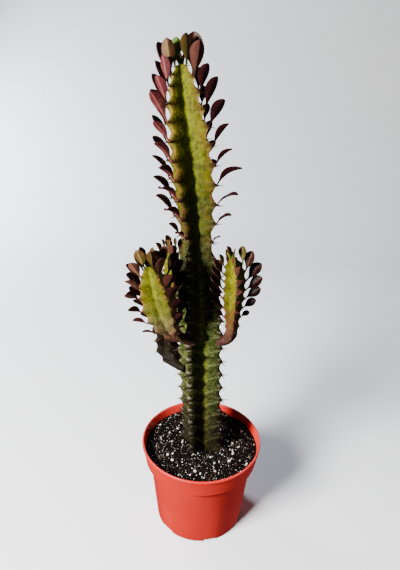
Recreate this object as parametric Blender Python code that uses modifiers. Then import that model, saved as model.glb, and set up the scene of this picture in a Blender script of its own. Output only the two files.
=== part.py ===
"""A potted euphorbia: a tall four-ribbed stem with three side arms and spoon-shaped leaves,
planted in a round plastic nursery pot filled with potting mix.

The origin is the middle of the pot's underside, +Z is up and -Y is the front.
Every point along a stem is named by its distance up the stem and by its compass angle,
which is 0 at the front (-Y) and grows towards the right (+X).
"""

import math

import bmesh
import bpy
import numpy as np
from mathutils import Matrix, Vector

MM = 0.001
GAP = 0.3 * MM  # clearance between pieces that touch

# Pot
POT_HEIGHT = 121.6 * MM
RIM_RADIUS = 76.0 * MM
RIM_INNER_RADIUS = 73.2 * MM
COLLAR_DEPTH = 26.0 * MM
COLLAR_FOOT_RADIUS = 71.8 * MM
WALL_TOP_RADIUS = 66.0 * MM
FOOT_RADIUS = 57.0 * MM
WALL = 1.7 * MM
LEDGE_RISE = 1.2 * MM  # height of the inner ledge's inner edge above the foot of the collar
FLOOR = 2.0 * MM
FOOT_ROUNDING = 2.5 * MM
RIM_ROUNDING = 0.8 * MM
LIP_DEPTH = 3.0 * MM  # the bead along the top of the collar
LIP_PROUD = 0.9 * MM
POT_STEPS = 48
NOTCH_COUNT = 6
NOTCH_WIDTH = 17.0 * MM
NOTCH_LENGTH = 22.0 * MM
NOTCH_HEIGHT = 3.2 * MM
NOTCH_FIRST_ANGLE = math.radians(14)

# Potting mix
MIX_EDGE_HEIGHT = 110.0 * MM
MIX_STEM_HEIGHT = 111.7 * MM
MIX_MOUND_RADIUS = 34.0 * MM  # the mix is level round the stem out to here
MIX_STEPS = 32
WELL_OVERSHOOT = 20.0 * MM  # how far the cutter for the stem's foot reaches above the mix

# The foot of the stem, which is buried in the mix
ROOT_TOP_RADIUS = 16.0 * MM
ROOT_END_RADIUS = 9.0 * MM
ROOT_DEPTH = 45.0 * MM
ROOT_STEPS = 16
FOOT_OVERLAP = 4.0 * MM  # how far the foot reaches up into the ribbed stem

RIBS = 4
RIB_TURN = math.tau / RIBS
FLANK_POWER = 2.1  # how quickly a flank falls from its crest to the valley
END_TOOTH_REACH = 9.0 * MM  # how far the first and last teeth of a rib run out
PHASE_FADE = 20.0 * MM  # the ribs' teeth come level over this length at both ends of a stem

# Leaf
LEAF_THICKNESS = 1.3 * MM
LEAF_FOLD = 0.32
LEAF_ROOT_GAP = 0.5 * MM
LEAF_ROWS = 5
LEAST_BEND = 1e-5  # keeps the formula for a curled leaf whole where the leaf is straight

RIB_NAMES = ("front_left", "front_right", "back_right", "back_left")


def stations(*pairs):
    """Distance and size pairs in millimetres, as two arrays in metres."""
    table = np.array(pairs, float) * MM
    return table[:, 0], table[:, 1]


def even_teeth(first, pitch, count):
    return [(first + pitch * i) * MM for i in range(count)]


def closing_teeth(first, pitch, shrink, count):
    """Teeth that come closer together towards the growing tip."""
    found = [first * MM]
    for i in range(count - 1):
        found.append(found[-1] + (pitch - shrink * i**2) * MM)
    return found


def even_ribs(*first):
    """Compass angles of four ribs that are a quarter turn apart; first is the first rib's, up the stem."""
    return [[angle + 90 * rib for angle in first] for rib in range(4)]


STEMS = {
    "main_stem": {
        "route": (
            (0.5, 0, 112),
            (0.5, 0, 127),
            (-3.5, 0, 211),
            (-8.8, 0, 319),
            (-12.5, 0, 391),
            (-18.6, 0, 464),
            (-25.6, 0, 519),
            (-31.0, 0, 562),
        ),
        "crest": stations(
            (0, 24.5), (60, 25.5), (200, 26), (240, 24.5), (262, 20), (279, 15.5), (292, 18.5),
            (318, 21), (352, 23), (380, 22), (408, 19.5), (425, 16.5), (438, 13), (447, 9), (455, 3),
        ),
        "tooth_height": stations((0, 3.5), (200, 4.5), (270, 3), (300, 6), (400, 6.5), (430, 5), (455, 2)),
        "teeth": even_teeth(8, 18.1, 15) + closing_teeth(281, 20.5, 0.12, 11),
        "valley_share": ((0, 1), (0.52, 0.56)),
        "rib_shares": (0.0, 0.2, 0.4, 0.6, 0.72, 1.0),
        "rib_angles": (
            (-34, -31, -27, -29, -35, -47),
            (62, 63, 65, 64, 60, 46),
            (153, 153, 153, 154, 150, 136),
            (248, 246, 245, 244, 238, 224),
        ),
        "phase": (7.0, -1.5, 0.0, 2.0),
        "angles": (-22, -7, 0, 7, 22, 45),
    },
    "arm_front_left": {
        "route": (
            (-13.0, -19.5, 277),
            (-25.5, -27.0, 285),
            (-35.0, -31.5, 293),
            (-41.0, -34.5, 305),
            (-46.0, -36.0, 320),
            (-51.0, -37.0, 337),
            (-55.5, -38.0, 355),
            (-59.5, -38.5, 375),
        ),
        "crest": stations(
            (0, 6), (18, 6), (28, 7.5), (36, 10), (44, 13), (58, 17), (75, 19), (90, 17), (98, 14.5),
            (106, 10.5), (112, 7), (117, 2.5),
        ),
        "tooth_height": stations((0, 0), (28, 1), (42, 4), (98, 4), (107, 2.5), (118, 1)),
        "teeth": even_teeth(32, 14.2, 4) + closing_teeth(89, 10.5, 0.9, 4),
        "valley_share": ((0, 0.2, 0.36, 1), (1, 0.9, 0.55, 0.6)),
        "rib_shares": (0.0, 1.0),
        "rib_angles": even_ribs(-48, -48),
        "phase": (0.0, -5.0, -2.0, 3.0),
        "angles": (-14, 0, 14, 45),
    },
    "arm_back_left": {
        "route": (
            (-21.0, 4.0, 225),
            (-30.5, 12.0, 225),
            (-39.0, 22.0, 228),
            (-44.5, 29.0, 236),
            (-46.0, 32.0, 248),
            (-44.8, 33.0, 272),
            (-41.5, 33.0, 302),
            (-39.8, 33.0, 334),
            (-40.5, 33.0, 354),
            (-43.0, 33.0, 371),
        ),
        "crest": stations(
            (0, 6.5), (14, 6.5), (26, 8), (38, 10), (150, 10), (162, 7.5), (170, 5), (176, 2.5)
        ),
        "tooth_height": stations((0, 0), (22, 1), (40, 2.5), (150, 2.5), (176, 1)),
        "teeth": even_teeth(27, 12, 9) + closing_teeth(134, 10.5, 0.35, 5),
        "valley_share": ((0, 0.12, 0.26, 1), (1, 0.9, 0.55, 0.6)),
        "rib_shares": (0.0, 1.0),
        "rib_angles": even_ribs(-62, -84),
        "phase": (0.0, -4.0, -1.0, 2.0),
        "angles": (-14, 0, 14, 45),
    },
    "arm_right": {
        "route": (
            (12.0, -6.0, 268),
            (22.5, -12.0, 275),
            (28.0, -15.3, 282.5),
            (29.8, -17.0, 295),
            (29.4, -17.5, 309),
            (29.5, -17.5, 329),
            (30.0, -17.0, 350),
            (28.5, -17.0, 364),
            (25.5, -16.5, 378),
        ),
        "crest": stations(
            (0, 6), (14, 6.3), (26, 6), (38, 5.3), (50, 5.8), (60, 8), (71, 10.3), (92, 10.3), (106, 9.5),
            (113, 7.5), (120, 2.5),
        ),
        "tooth_height": stations((0, 0), (24, 0.7), (38, 1.5), (60, 2.5), (110, 2.5), (120, 1)),
        "teeth": even_teeth(28, 11.5, 5) + closing_teeth(84.5, 10, 0.5, 4),
        "valley_share": ((0, 0.2, 0.4, 1), (1, 0.9, 0.6, 0.6)),
        "rib_shares": (0.0, 1.0),
        "rib_angles": even_ribs(-80, -82),
        "phase": (0.0, -3.0, -1.0, 2.0),
        "angles": (-14, 0, 14, 45),
    },
}

# Leaf lengths in millimetres, from the top tooth of each rib downwards; 0 is a tooth with no leaf here
LEAF_LENGTHS = {
    "main_stem": (
        (19, 30, 26, 26, 33, 26, 29, 28, 33, 32, 20),
        (26, 32, 27, 32, 30, 28, 26, 34, 29, 22, 13),
        (26, 38, 20, 18, 18, 20, 21, 22, 18),
        (22, 33, 29, 33, 36, 30, 29, 31, 31, 32, 18),
    ),
    "arm_front_left": ((22, 21, 17, 17, 17), (19,), (), (20, 20)),
    "arm_back_left": ((13,), (), (), ()),
    "arm_right": ((), (), (16, 18, 18), ()),
}
# Degrees above the horizontal from a leaf's root to its tip, by place from the top, for each rib
LEAF_RISE = {
    "main_stem": (
        ((0, 2, 4, 6, 8, 10), (90, 84, 60, 46, 36, 33)),
        ((0, 1, 3, 5, 7, 8, 10), (83, 68, 58, 45, 32, 27, 38)),
        ((0, 2, 4, 6, 8), (84, 76, 62, 45, 35)),
        ((0, 1, 4, 6, 8, 10), (86, 67, 58, 47, 34, 32)),
    ),
    "arms": (((0, 1, 2, 4, 6), (80, 66, 50, 42, 36)),) * 4,
}
# Degrees that a leaf turns down along its length
LEAF_CURL = ((0, 3, 5, 6, 7, 10), (-8, 2, 18, 36, 52, 56))
LEAF_SLENDERNESS = 0.36  # width over length

COLOURS = {
    "pot": ((0.78, 0.10, 0.06), 0.42),
    "potting_mix": ((0.03, 0.02, 0.015), 0.95),
    "stem": ((0.20, 0.26, 0.06), 0.5),
    "leaf": ((0.12, 0.02, 0.03), 0.45),
}


def clear_scene():
    for thing in list(bpy.data.objects):
        bpy.data.objects.remove(thing, do_unlink=True)


def new_collection(name):
    made = bpy.data.collections.new(name)
    bpy.context.scene.collection.children.link(made)
    return made


def new_material(name, kind):
    colour, roughness = COLOURS[kind]
    made = bpy.data.materials.new(name)
    made.use_nodes = True
    shader = made.node_tree.nodes["Principled BSDF"]
    shader.inputs["Base Color"].default_value = (*colour, 1)
    shader.inputs["Roughness"].default_value = roughness
    return made


def new_object(name, mesh, collection, kind):
    thing = bpy.data.objects.new(name, mesh)
    collection.objects.link(thing)
    mesh.materials.append(new_material(name, kind))
    return thing


def new_cutter(name, mesh, collection):
    thing = bpy.data.objects.new(name, mesh)
    collection.objects.link(thing)
    thing.hide_render = True
    thing.display_type = "WIRE"
    return thing


def cut(thing, cutter):
    step = thing.modifiers.new("cut", "BOOLEAN")
    step.operation = "DIFFERENCE"
    step.object = cutter


def smooth(mesh, degrees=40):
    mesh.shade_smooth()
    mesh.set_sharp_from_angle(angle=math.radians(degrees))


# Turned pieces


def turned(name, profile, steps, collection, kind):
    """A profile of (radius, height) points, turned about the Z axis."""
    mesh = bpy.data.meshes.new(name)
    edges = [(i, i + 1) for i in range(len(profile) - 1)]
    mesh.from_pydata([(radius, 0, height) for radius, height in profile], edges, [])
    thing = new_object(name, mesh, collection, kind)
    screw = thing.modifiers.new("turn", "SCREW")
    screw.steps = screw.render_steps = steps
    screw.use_merge_vertices = True
    screw.merge_threshold = 0.00001
    return thing


def wall_radius(height):
    """Outer radius of the tapered wall below the collar."""
    share = height / (POT_HEIGHT - COLLAR_DEPTH)
    return FOOT_RADIUS + share * (WALL_TOP_RADIUS - FOOT_RADIUS)


def pot_profile():
    step_height = POT_HEIGHT - COLLAR_DEPTH
    inner_wall = (
        (0, FLOOR),
        (wall_radius(FLOOR) - WALL, FLOOR),
        (WALL_TOP_RADIUS - WALL, step_height + LEDGE_RISE),
        (COLLAR_FOOT_RADIUS - WALL, step_height + WALL),
    )
    rim = (
        (RIM_INNER_RADIUS, POT_HEIGHT - RIM_ROUNDING),
        (RIM_INNER_RADIUS + RIM_ROUNDING, POT_HEIGHT),
        (RIM_RADIUS - RIM_ROUNDING, POT_HEIGHT),
        (RIM_RADIUS, POT_HEIGHT - RIM_ROUNDING),
        (RIM_RADIUS, POT_HEIGHT - LIP_DEPTH),
        (RIM_RADIUS - LIP_PROUD, POT_HEIGHT - LIP_DEPTH - LIP_PROUD),
    )
    outer_wall = (
        (COLLAR_FOOT_RADIUS, step_height + RIM_ROUNDING),
        (COLLAR_FOOT_RADIUS - RIM_ROUNDING, step_height),
        (WALL_TOP_RADIUS, step_height),
        (wall_radius(FOOT_ROUNDING), FOOT_ROUNDING),
        (FOOT_RADIUS - 0.3 * FOOT_ROUNDING, 0.3 * FOOT_ROUNDING),
        (FOOT_RADIUS - FOOT_ROUNDING, 0),
        (0, 0),
    )
    return inner_wall + rim + outer_wall


def notch_cutters(collection):
    """Flat bars that reach through the foot of the wall, for the drainage notches."""
    shape = bmesh.new()
    size = Matrix.Diagonal((NOTCH_WIDTH, NOTCH_LENGTH, 2 * NOTCH_HEIGHT, 1))
    move_out = Matrix.Translation((0, -FOOT_RADIUS, 0))
    for i in range(NOTCH_COUNT):
        angle = NOTCH_FIRST_ANGLE + math.tau * i / NOTCH_COUNT
        bmesh.ops.create_cube(shape, size=1, matrix=Matrix.Rotation(angle, 4, "Z") @ move_out @ size)
    mesh = bpy.data.meshes.new("drainage_notches")
    shape.to_mesh(mesh)
    shape.free()
    return new_cutter("drainage_notches", mesh, collection)


def make_pot(collection, cutters):
    pot = turned("pot", pot_profile(), POT_STEPS, collection, "pot")
    cut(pot, notch_cutters(cutters))


def collar_inner_radius(height):
    step_height = POT_HEIGHT - COLLAR_DEPTH
    low = COLLAR_FOOT_RADIUS - WALL
    share = (height - step_height - WALL) / (POT_HEIGHT - RIM_ROUNDING - step_height - WALL)
    return low + share * (RIM_INNER_RADIUS - low)


def make_potting_mix(collection):
    """The mix fills the pot to just under the rim, and has a well for the buried foot of the stem."""
    step_height = POT_HEIGHT - COLLAR_DEPTH
    bottom = FLOOR + GAP
    profile = (
        (0, MIX_STEM_HEIGHT),
        (MIX_MOUND_RADIUS, MIX_STEM_HEIGHT),
        (collar_inner_radius(MIX_EDGE_HEIGHT) - GAP, MIX_EDGE_HEIGHT),
        (COLLAR_FOOT_RADIUS - WALL - GAP, step_height + WALL + 2 * GAP),
        (WALL_TOP_RADIUS - WALL - GAP, step_height + LEDGE_RISE + 2 * GAP),
        (wall_radius(bottom) - WALL - 2 * GAP, bottom),
        (0, bottom),
    )
    return turned("potting_mix", profile, MIX_STEPS, collection, "potting_mix")


# Stems


def smooth_route(points, samples=240):
    """Points along a smooth curve through the route's points, and the distance to each."""
    knots = [Vector(p) * MM for p in points]
    ends = [2 * knots[0] - knots[1]] + knots + [2 * knots[-1] - knots[-2]]
    line = []
    spans = len(knots) - 1
    for i in range(samples + 1):
        at = min(i * spans / samples, spans - 1e-9)
        span, t = int(at), at - int(at)
        a, b, c, d = ends[span : span + 4]
        line.append(
            0.5 * ((2 * b) + (c - a) * t + (2 * a - 5 * b + 4 * c - d) * t**2 + (3 * b - a - 3 * c + d) * t**3)
        )
    steps = [0.0] + [(q - p).length for p, q in zip(line, line[1:])]
    return line, np.cumsum(steps)


class Stem:
    """A ribbed, toothed stem along a smooth route."""

    def __init__(self, name, design):
        self.name = name
        self.design = design
        self.line, self.far = smooth_route(design["route"])
        self.length = float(self.far[-1])
        self.teeth = np.array(design["teeth"])
        self.frames = self.carried_frames()

    def carried_frames(self):
        """The front and right directions at each point, carried down from the tip without twisting."""
        frames = []
        front = Vector((0, -1, 0))
        for i in range(len(self.line) - 1, -1, -1):
            lower, upper = max(i - 1, 0), min(i + 1, len(self.line) - 1)
            along = (self.line[upper] - self.line[lower]).normalized()
            front = (front - front.dot(along) * along).normalized()
            frames.append((front.copy(), along.cross(front), along))
        return frames[::-1]

    def frame_at(self, distance):
        """Position, front, right and upward directions at a distance up the stem."""
        i = int(np.clip(np.searchsorted(self.far, distance) - 1, 0, len(self.line) - 2))
        t = min(max((distance - self.far[i]) / (self.far[i + 1] - self.far[i]), 0), 1)
        place = self.line[i].lerp(self.line[i + 1], t)
        return (place,) + tuple(a.lerp(b, t) for a, b in zip(self.frames[i], self.frames[i + 1]))

    def tooth(self, distance):
        """1 at the point of a tooth and 0 in the notch between two teeth."""
        i = int(np.searchsorted(self.teeth, distance))
        if i == 0 or i == len(self.teeth):
            end = self.teeth[0] if i == 0 else self.teeth[-1]
            return max(0.0, 1 - abs(distance - end) / END_TOOTH_REACH)
        share = (distance - self.teeth[i - 1]) / (self.teeth[i] - self.teeth[i - 1])
        return abs(2 * share**0.9 - 1) ** 1.4

    def compass(self, turn, distance):
        """Compass angle of a turn, which counts a quarter turn from each rib to the next."""
        share = distance / self.length
        ribs = [np.interp(share, self.design["rib_shares"], row) for row in self.design["rib_angles"]]
        ribs.append(ribs[0] + 360)
        return math.radians(np.interp((turn / RIB_TURN) % RIBS, range(RIBS + 1), ribs))

    def phase(self, turn):
        """How far the teeth of a rib sit above those of the first rib."""
        offsets = np.array(self.design["phase"] + self.design["phase"][:1]) * MM
        return float(np.interp((turn / RIB_TURN) % RIBS, range(RIBS + 1), offsets))

    def point(self, turn, distance, grow=0.0):
        """A point of the surface; turn is measured from the first rib's crest."""
        fade = max(0.0, min(1.0, distance / PHASE_FADE, (self.length - distance) / PHASE_FADE))
        placed = float(distance + self.phase(turn) * fade)
        crest = float(np.interp(placed, *self.design["crest"]))
        valley = crest * float(np.interp(placed / self.length, *self.design["valley_share"]))
        crest += float(np.interp(placed, *self.design["tooth_height"])) * self.tooth(distance)
        off = abs((turn + RIB_TURN / 2) % RIB_TURN - RIB_TURN / 2) / (RIB_TURN / 2)
        radius = valley + (crest - valley) * (1 - off) ** FLANK_POWER + grow
        place, front, right, _ = self.frame_at(placed)
        angle = self.compass(turn, placed)
        return place + (front * math.cos(angle) + right * math.sin(angle)) * float(radius)

    def turns(self):
        return [rib * RIB_TURN + math.radians(a) for rib in range(RIBS) for a in self.design["angles"]]

    def distances(self):
        """Where the rings lie: at each tooth and at two places between teeth."""
        found = [0.0]
        first = self.teeth[0]
        found += [first * 0.5] if first < 15 * MM else list(np.linspace(0, first, 5)[1:-1])
        for low, high in zip(self.teeth, self.teeth[1:]):
            found += [low, low + 0.3 * (high - low), low + 0.65 * (high - low)]
        found.append(self.teeth[-1])
        spare = self.length - self.teeth[-1]
        found += [self.teeth[-1] + spare * t for t in (0.45, 0.8, 1.0)]
        return found

    def rings(self, grow=0.0):
        return [[self.point(turn, far, grow) for turn in self.turns()] for far in self.distances()]


def loft(name, rings):
    """A closed mesh through rings that all have the same number of points, from the bottom up."""
    shape = bmesh.new()
    rows = [[shape.verts.new(p) for p in ring] for ring in rings]
    for low, high in zip(rows, rows[1:]):
        for i in range(len(low)):
            j = (i + 1) % len(low)
            shape.faces.new((low[i], low[j], high[j], high[i]))
    shape.faces.new(rows[0][::-1])
    shape.faces.new(rows[-1])
    bmesh.ops.recalc_face_normals(shape, faces=shape.faces)
    bmesh.ops.triangulate(shape, faces=shape.faces)
    mesh = bpy.data.meshes.new(name)
    shape.to_mesh(mesh)
    shape.free()
    return mesh


def root_rings(stem, grow=0.0, lift=0.0):
    """Rings of the round foot below the stem; grow and lift make the well that holds it."""
    centre = stem.line[0]
    sizes = (
        (ROOT_END_RADIUS + grow, centre.z - ROOT_DEPTH - grow),
        (ROOT_TOP_RADIUS + grow, centre.z),
        (ROOT_TOP_RADIUS + grow, centre.z + lift),
    )
    angles = [math.tau * i / ROOT_STEPS for i in range(ROOT_STEPS)]
    return [
        [Vector((centre.x + r * math.sin(a), centre.y - r * math.cos(a), height)) for a in angles]
        for r, height in sizes
    ]


def make_main_stem(stem, collection, cutters):
    """The ribbed stem joined to its round buried foot."""
    thing = new_object(stem.name, loft(stem.name, stem.rings()), collection, "stem")
    foot = new_cutter("buried_foot", loft("buried_foot", root_rings(stem, lift=FOOT_OVERLAP)), cutters)
    join = thing.modifiers.new("foot", "BOOLEAN")
    join.operation = "UNION"
    join.object = foot
    smooth(thing.data)


def make_well(stem, mix, cutters):
    shape = loft("stem_well", root_rings(stem, grow=GAP, lift=WELL_OVERSHOOT))
    cut(mix, new_cutter("stem_well", shape, cutters))


def make_arm(stem, parent, collection, cutters):
    """An arm whose neck is shaped to the rib that it grows from."""
    thing = new_object(stem.name, loft(stem.name, stem.rings()), collection, "stem")
    name = "seat_of_" + stem.name
    cut(thing, new_cutter(name, loft(name, parent.rings(grow=GAP)), cutters))
    smooth(thing.data)


# Leaves


def leaf_half_width(t):
    """Half width over the leaf's full width: a narrow stalk, widest at two thirds, a short point."""
    return 0.5 * float(np.interp(t, (0, 0.12, 0.35, 0.6, 0.75, 0.9, 1), (0.14, 0.2, 0.55, 0.93, 1, 0.72, 0.1)))


def leaf_mesh(name, root, outward, up, length, rise, curl):
    """A thin spoon-shaped leaf that is folded along its midrib. It rises from its root and then curls."""
    along = outward * math.cos(rise) + up * math.sin(rise)
    face = up * math.cos(rise) - outward * math.sin(rise)
    side = along.cross(face)
    shape = bmesh.new()
    bmesh.ops.create_grid(shape, x_segments=2, y_segments=LEAF_ROWS, size=1)
    for vert in shape.verts:
        across, t = vert.co.x, (vert.co.y + 1) / 2
        bend = curl * t + LEAST_BEND
        reach = length * t * math.sin(bend) / bend
        drop = length * t * (1 - math.cos(bend)) / bend
        half = leaf_half_width(t) * LEAF_SLENDERNESS * length
        leaf_up = face * math.cos(bend) + along * math.sin(bend)
        place = root + along * reach - face * drop
        vert.co = place + side * (across * half) + leaf_up * (LEAF_FOLD * abs(across) * half)
    bmesh.ops.recalc_face_normals(shape, faces=shape.faces)
    mesh = bpy.data.meshes.new(name)
    shape.to_mesh(mesh)
    shape.free()
    return mesh


def make_leaf(stem, rib, place, length, collection):
    """A leaf on a tooth; place counts teeth from the top."""
    turn = rib * RIB_TURN
    distance = stem.teeth[len(stem.teeth) - 1 - place]
    tip = stem.point(turn, distance)
    middle, _, _, up = stem.frame_at(distance + stem.phase(turn))
    outward = tip - middle
    outward = (outward - outward.dot(up) * up).normalized()
    curl = math.radians(np.interp(place, *LEAF_CURL))
    rises = LEAF_RISE.get(stem.name, LEAF_RISE["arms"])
    rise = math.radians(np.interp(place, *rises[rib])) + curl / 2
    name = f"leaf_{stem.name.replace('_stem', '')}_{RIB_NAMES[rib]}_{place + 1:02d}"
    root = tip + outward * LEAF_ROOT_GAP
    mesh = leaf_mesh(name, root, outward, up.normalized(), length * MM, rise, curl)
    leaf = new_object(name, mesh, collection, "leaf")
    shell = leaf.modifiers.new("thickness", "SOLIDIFY")
    shell.thickness = LEAF_THICKNESS
    shell.offset = 0
    smooth(mesh, 60)


def main():
    clear_scene()
    plant = new_collection("potted_euphorbia")
    cutters = new_collection("cutters")
    stems = {name: Stem(name, design) for name, design in STEMS.items()}
    trunk = stems["main_stem"]

    make_pot(plant, cutters)
    make_well(trunk, make_potting_mix(plant), cutters)
    make_main_stem(trunk, plant, cutters)
    for name, stem in stems.items():
        if stem is not trunk:
            make_arm(stem, trunk, plant, cutters)
        for rib, lengths in enumerate(LEAF_LENGTHS[name]):
            for place, length in enumerate(lengths):
                if length:
                    make_leaf(stem, rib, place, length, plant)


main()
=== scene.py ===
"""A potted euphorbia with finished surfaces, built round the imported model.

The origin is the middle of the pot's underside, +Z is up and -Y is the front.
A point on a stem is named by its distance up the stem and by its turn, which counts a quarter turn
from each rib's crest to the next. Compass angles are 0 at the front and grow towards the right (+X).
"""

import math

import bmesh
import bpy
import numpy as np
from mathutils import Euler, Matrix, Vector, noise


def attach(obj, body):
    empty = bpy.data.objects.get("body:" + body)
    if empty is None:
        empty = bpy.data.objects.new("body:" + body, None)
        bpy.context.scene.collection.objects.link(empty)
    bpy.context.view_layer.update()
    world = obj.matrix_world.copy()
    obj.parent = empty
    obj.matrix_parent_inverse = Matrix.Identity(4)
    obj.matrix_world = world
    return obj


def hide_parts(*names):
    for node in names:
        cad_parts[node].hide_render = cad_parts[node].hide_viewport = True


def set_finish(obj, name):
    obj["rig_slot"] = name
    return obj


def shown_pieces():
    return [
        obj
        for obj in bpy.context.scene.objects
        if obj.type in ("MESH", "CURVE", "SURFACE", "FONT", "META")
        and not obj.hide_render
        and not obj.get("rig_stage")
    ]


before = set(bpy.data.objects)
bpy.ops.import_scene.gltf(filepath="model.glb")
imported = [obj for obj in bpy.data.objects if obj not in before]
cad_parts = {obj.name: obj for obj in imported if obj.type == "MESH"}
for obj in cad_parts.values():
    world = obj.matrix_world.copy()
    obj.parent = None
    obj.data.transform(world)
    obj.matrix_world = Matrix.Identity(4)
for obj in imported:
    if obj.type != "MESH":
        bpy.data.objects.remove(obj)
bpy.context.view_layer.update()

MM = 0.001
SEED = 11

# Sizes of the pot and the mix. The construction has the same, but for notches that are 1 mm lower.
POT_HEIGHT = 121.6 * MM
RIM_RADIUS = 76.0 * MM
RIM_INNER_RADIUS = 73.2 * MM
COLLAR_DEPTH = 26.0 * MM
COLLAR_FOOT_RADIUS = 71.8 * MM
WALL_TOP_RADIUS = 66.0 * MM
FOOT_RADIUS = 57.0 * MM
WALL = 1.7 * MM
FLOOR = 2.0 * MM
STEP_HEIGHT = POT_HEIGHT - COLLAR_DEPTH
NOTCH_COUNT = 6
NOTCH_WIDTH = 17.0 * MM
NOTCH_HEIGHT = 4.2 * MM
NOTCH_FIRST_ANGLE = math.radians(14)
MIX_GAP = 0.25 * MM
MIX_EDGE_HEIGHT = 110.0 * MM
MIX_STEM_HEIGHT = 111.7 * MM
MIX_MOUND_RADIUS = 34.0 * MM
MIX_EDGE_RADIUS = 72.0 * MM

# Shared shape of the four stems
RIBS = 4
RIB_NAMES = ("front_left", "front_right", "back_right", "back_left")
CREST_ROUNDING = 0.09  # share of a flank that rounds over at the crest
TOOTH_FADE = ((0.3, 0.6), (7, 3))  # how fast a tooth sinks into its flank, by how far down the stem it is
TOOTH_LEAN = 0.9  # below 1, the notch between two teeth lies nearer the lower one
TOOTH_BULGE = 1.4  # above 1, the notch is round and the tooth is pointed
TOOTH_ROUNDING = 1.2  # how much blunter the crest is at a tooth than between two
END_TOOTH_REACH = 9.0 * MM  # how far the first and last teeth run out along the crest
PHASE_FADE = 20.0 * MM  # the stretch at each end over which a rib's own phase dies away


# Stems


def stations(*pairs):
    """Distance and size pairs in millimetres, as two arrays in metres."""
    table = np.array(pairs, float) * MM
    return table[:, 0], table[:, 1]


def even_teeth(first, pitch, count):
    return [(first + pitch * i) * MM for i in range(count)]


def closing_teeth(first, pitch, shrink, count):
    """Teeth that come closer together towards the growing tip."""
    found = [first * MM]
    for i in range(count - 1):
        found.append(found[-1] + (pitch - shrink * i**2) * MM)
    return found


def even_ribs(*first):
    """Compass angles of ribs a quarter turn apart; first is the first rib's, at the foot and at the tip."""
    return [[angle + 90 * rib for angle in first] for rib in range(RIBS)]


STEMS = {
    "main_stem": {
        "route": (
            (0.5, 0, 112), (0.5, 0, 127), (-3.5, 0, 211), (-8.8, 0, 319), (-12.5, 0, 391),
            (-18.6, 0, 464), (-25.6, 0, 519), (-31.0, 0, 562),
        ),
        "crest": stations(
            (0, 24.5), (60, 25.5), (200, 26), (240, 24.5), (262, 20), (279, 15.5), (292, 18.5),
            (318, 21), (352, 23), (380, 22), (408, 19.5), (425, 16.5), (438, 13), (447, 9), (455, 3),
        ),
        "tooth_height": stations(
            (0, 3.5), (200, 4.5), (270, 3), (300, 6), (400, 6.5), (430, 5), (455, 2)
        ),
        "teeth": even_teeth(8, 18.1, 15) + closing_teeth(281, 20.5, 0.12, 11),
        "valley_share": ((0, 0.35, 0.55, 1), (0.52, 0.5, 0.42, 0.42)),
        "flank_power": 2.1,
        "rib_shares": (0.0, 0.2, 0.4, 0.6, 0.72, 1.0),
        "rib_angles": (
            (-34, -31, -27, -29, -35, -47),
            (62, 63, 65, 64, 60, 46),
            (153, 153, 153, 154, 150, 136),
            (248, 246, 245, 246, 243, 232),
        ),
        "phase": (7.0, -1.5, 0.0, 2.0),
    },
    "arm_front_left": {
        "route": (
            (-13.0, -19.5, 277), (-25.5, -27.0, 285), (-35.0, -31.5, 293), (-41.0, -34.5, 305),
            (-46.0, -36.0, 320), (-51.0, -37.0, 337), (-55.5, -38.0, 355), (-59.5, -38.5, 375),
        ),
        "crest": stations(
            (0, 6), (18, 6), (28, 7.5), (36, 10), (44, 13), (58, 17), (75, 19), (90, 17.3), (98, 15.5),
            (106, 12.3), (112, 9), (117, 3.5),
        ),
        "tooth_height": stations((0, 0), (28, 1), (42, 4), (98, 4), (107, 2.5), (118, 1)),
        "teeth": even_teeth(32, 14.2, 4) + closing_teeth(89, 10.5, 0.9, 4),
        "valley_share": ((0, 0.2, 0.36, 1), (1, 0.9, 0.68, 0.7)),
        "flank_power": 1.2,
        "rib_angles": even_ribs(-48, -48),
        "phase": (0.0, -5.0, -2.0, -2.5),
    },
    "arm_back_left": {
        "route": (
            (-21.0, 4.0, 225), (-30.5, 12.0, 225), (-39.0, 22.0, 228), (-44.5, 29.0, 236),
            (-46.0, 32.0, 248), (-44.8, 33.0, 272), (-41.5, 33.0, 302), (-39.8, 33.0, 334),
            (-40.5, 33.0, 354), (-43.0, 33.0, 371),
        ),
        "crest": stations(
            (0, 6.5), (14, 7.5), (26, 10.5), (40, 13.5), (62, 14), (84, 12), (110, 10.5), (150, 10),
            (162, 7.5), (170, 5), (176, 2.5),
        ),
        "tooth_height": stations((0, 0), (18, 1.5), (34, 3), (150, 2.5), (176, 1)),
        "teeth": even_teeth(27, 12, 9) + closing_teeth(134, 10.5, 0.35, 5),
        "valley_share": ((0, 0.12, 0.26, 1), (1, 0.9, 0.55, 0.62)),
        "flank_power": 1.5,
        "rib_angles": even_ribs(-62, -84),
        "phase": (0.0, -4.0, -1.0, 2.0),
    },
    "arm_right": {
        "route": (
            (12.0, -6.0, 268), (22.5, -12.0, 275), (28.0, -15.3, 282.5), (29.8, -17.0, 295),
            (29.4, -17.5, 309), (29.5, -17.5, 329), (30.0, -17.0, 350), (28.5, -17.0, 364),
            (25.5, -16.5, 378),
        ),
        "crest": stations(
            (0, 6), (14, 6.5), (26, 6.8), (38, 7), (50, 7.8), (60, 9.2), (71, 10.8), (92, 10.8), (106, 9.8),
            (113, 7.5), (120, 2.5),
        ),
        "tooth_height": stations((0, 0), (24, 0.7), (38, 1.5), (60, 2.5), (110, 2.5), (120, 1)),
        "teeth": even_teeth(28, 11.5, 5) + closing_teeth(84.5, 10, 0.5, 4),
        "valley_share": ((0, 0.2, 0.4, 1), (1, 0.9, 0.67, 0.68)),
        "flank_power": 1.3,
        "rib_angles": even_ribs(-80, -82),
        "phase": (0.0, -3.0, -1.0, 2.0),
    },
}

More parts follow.
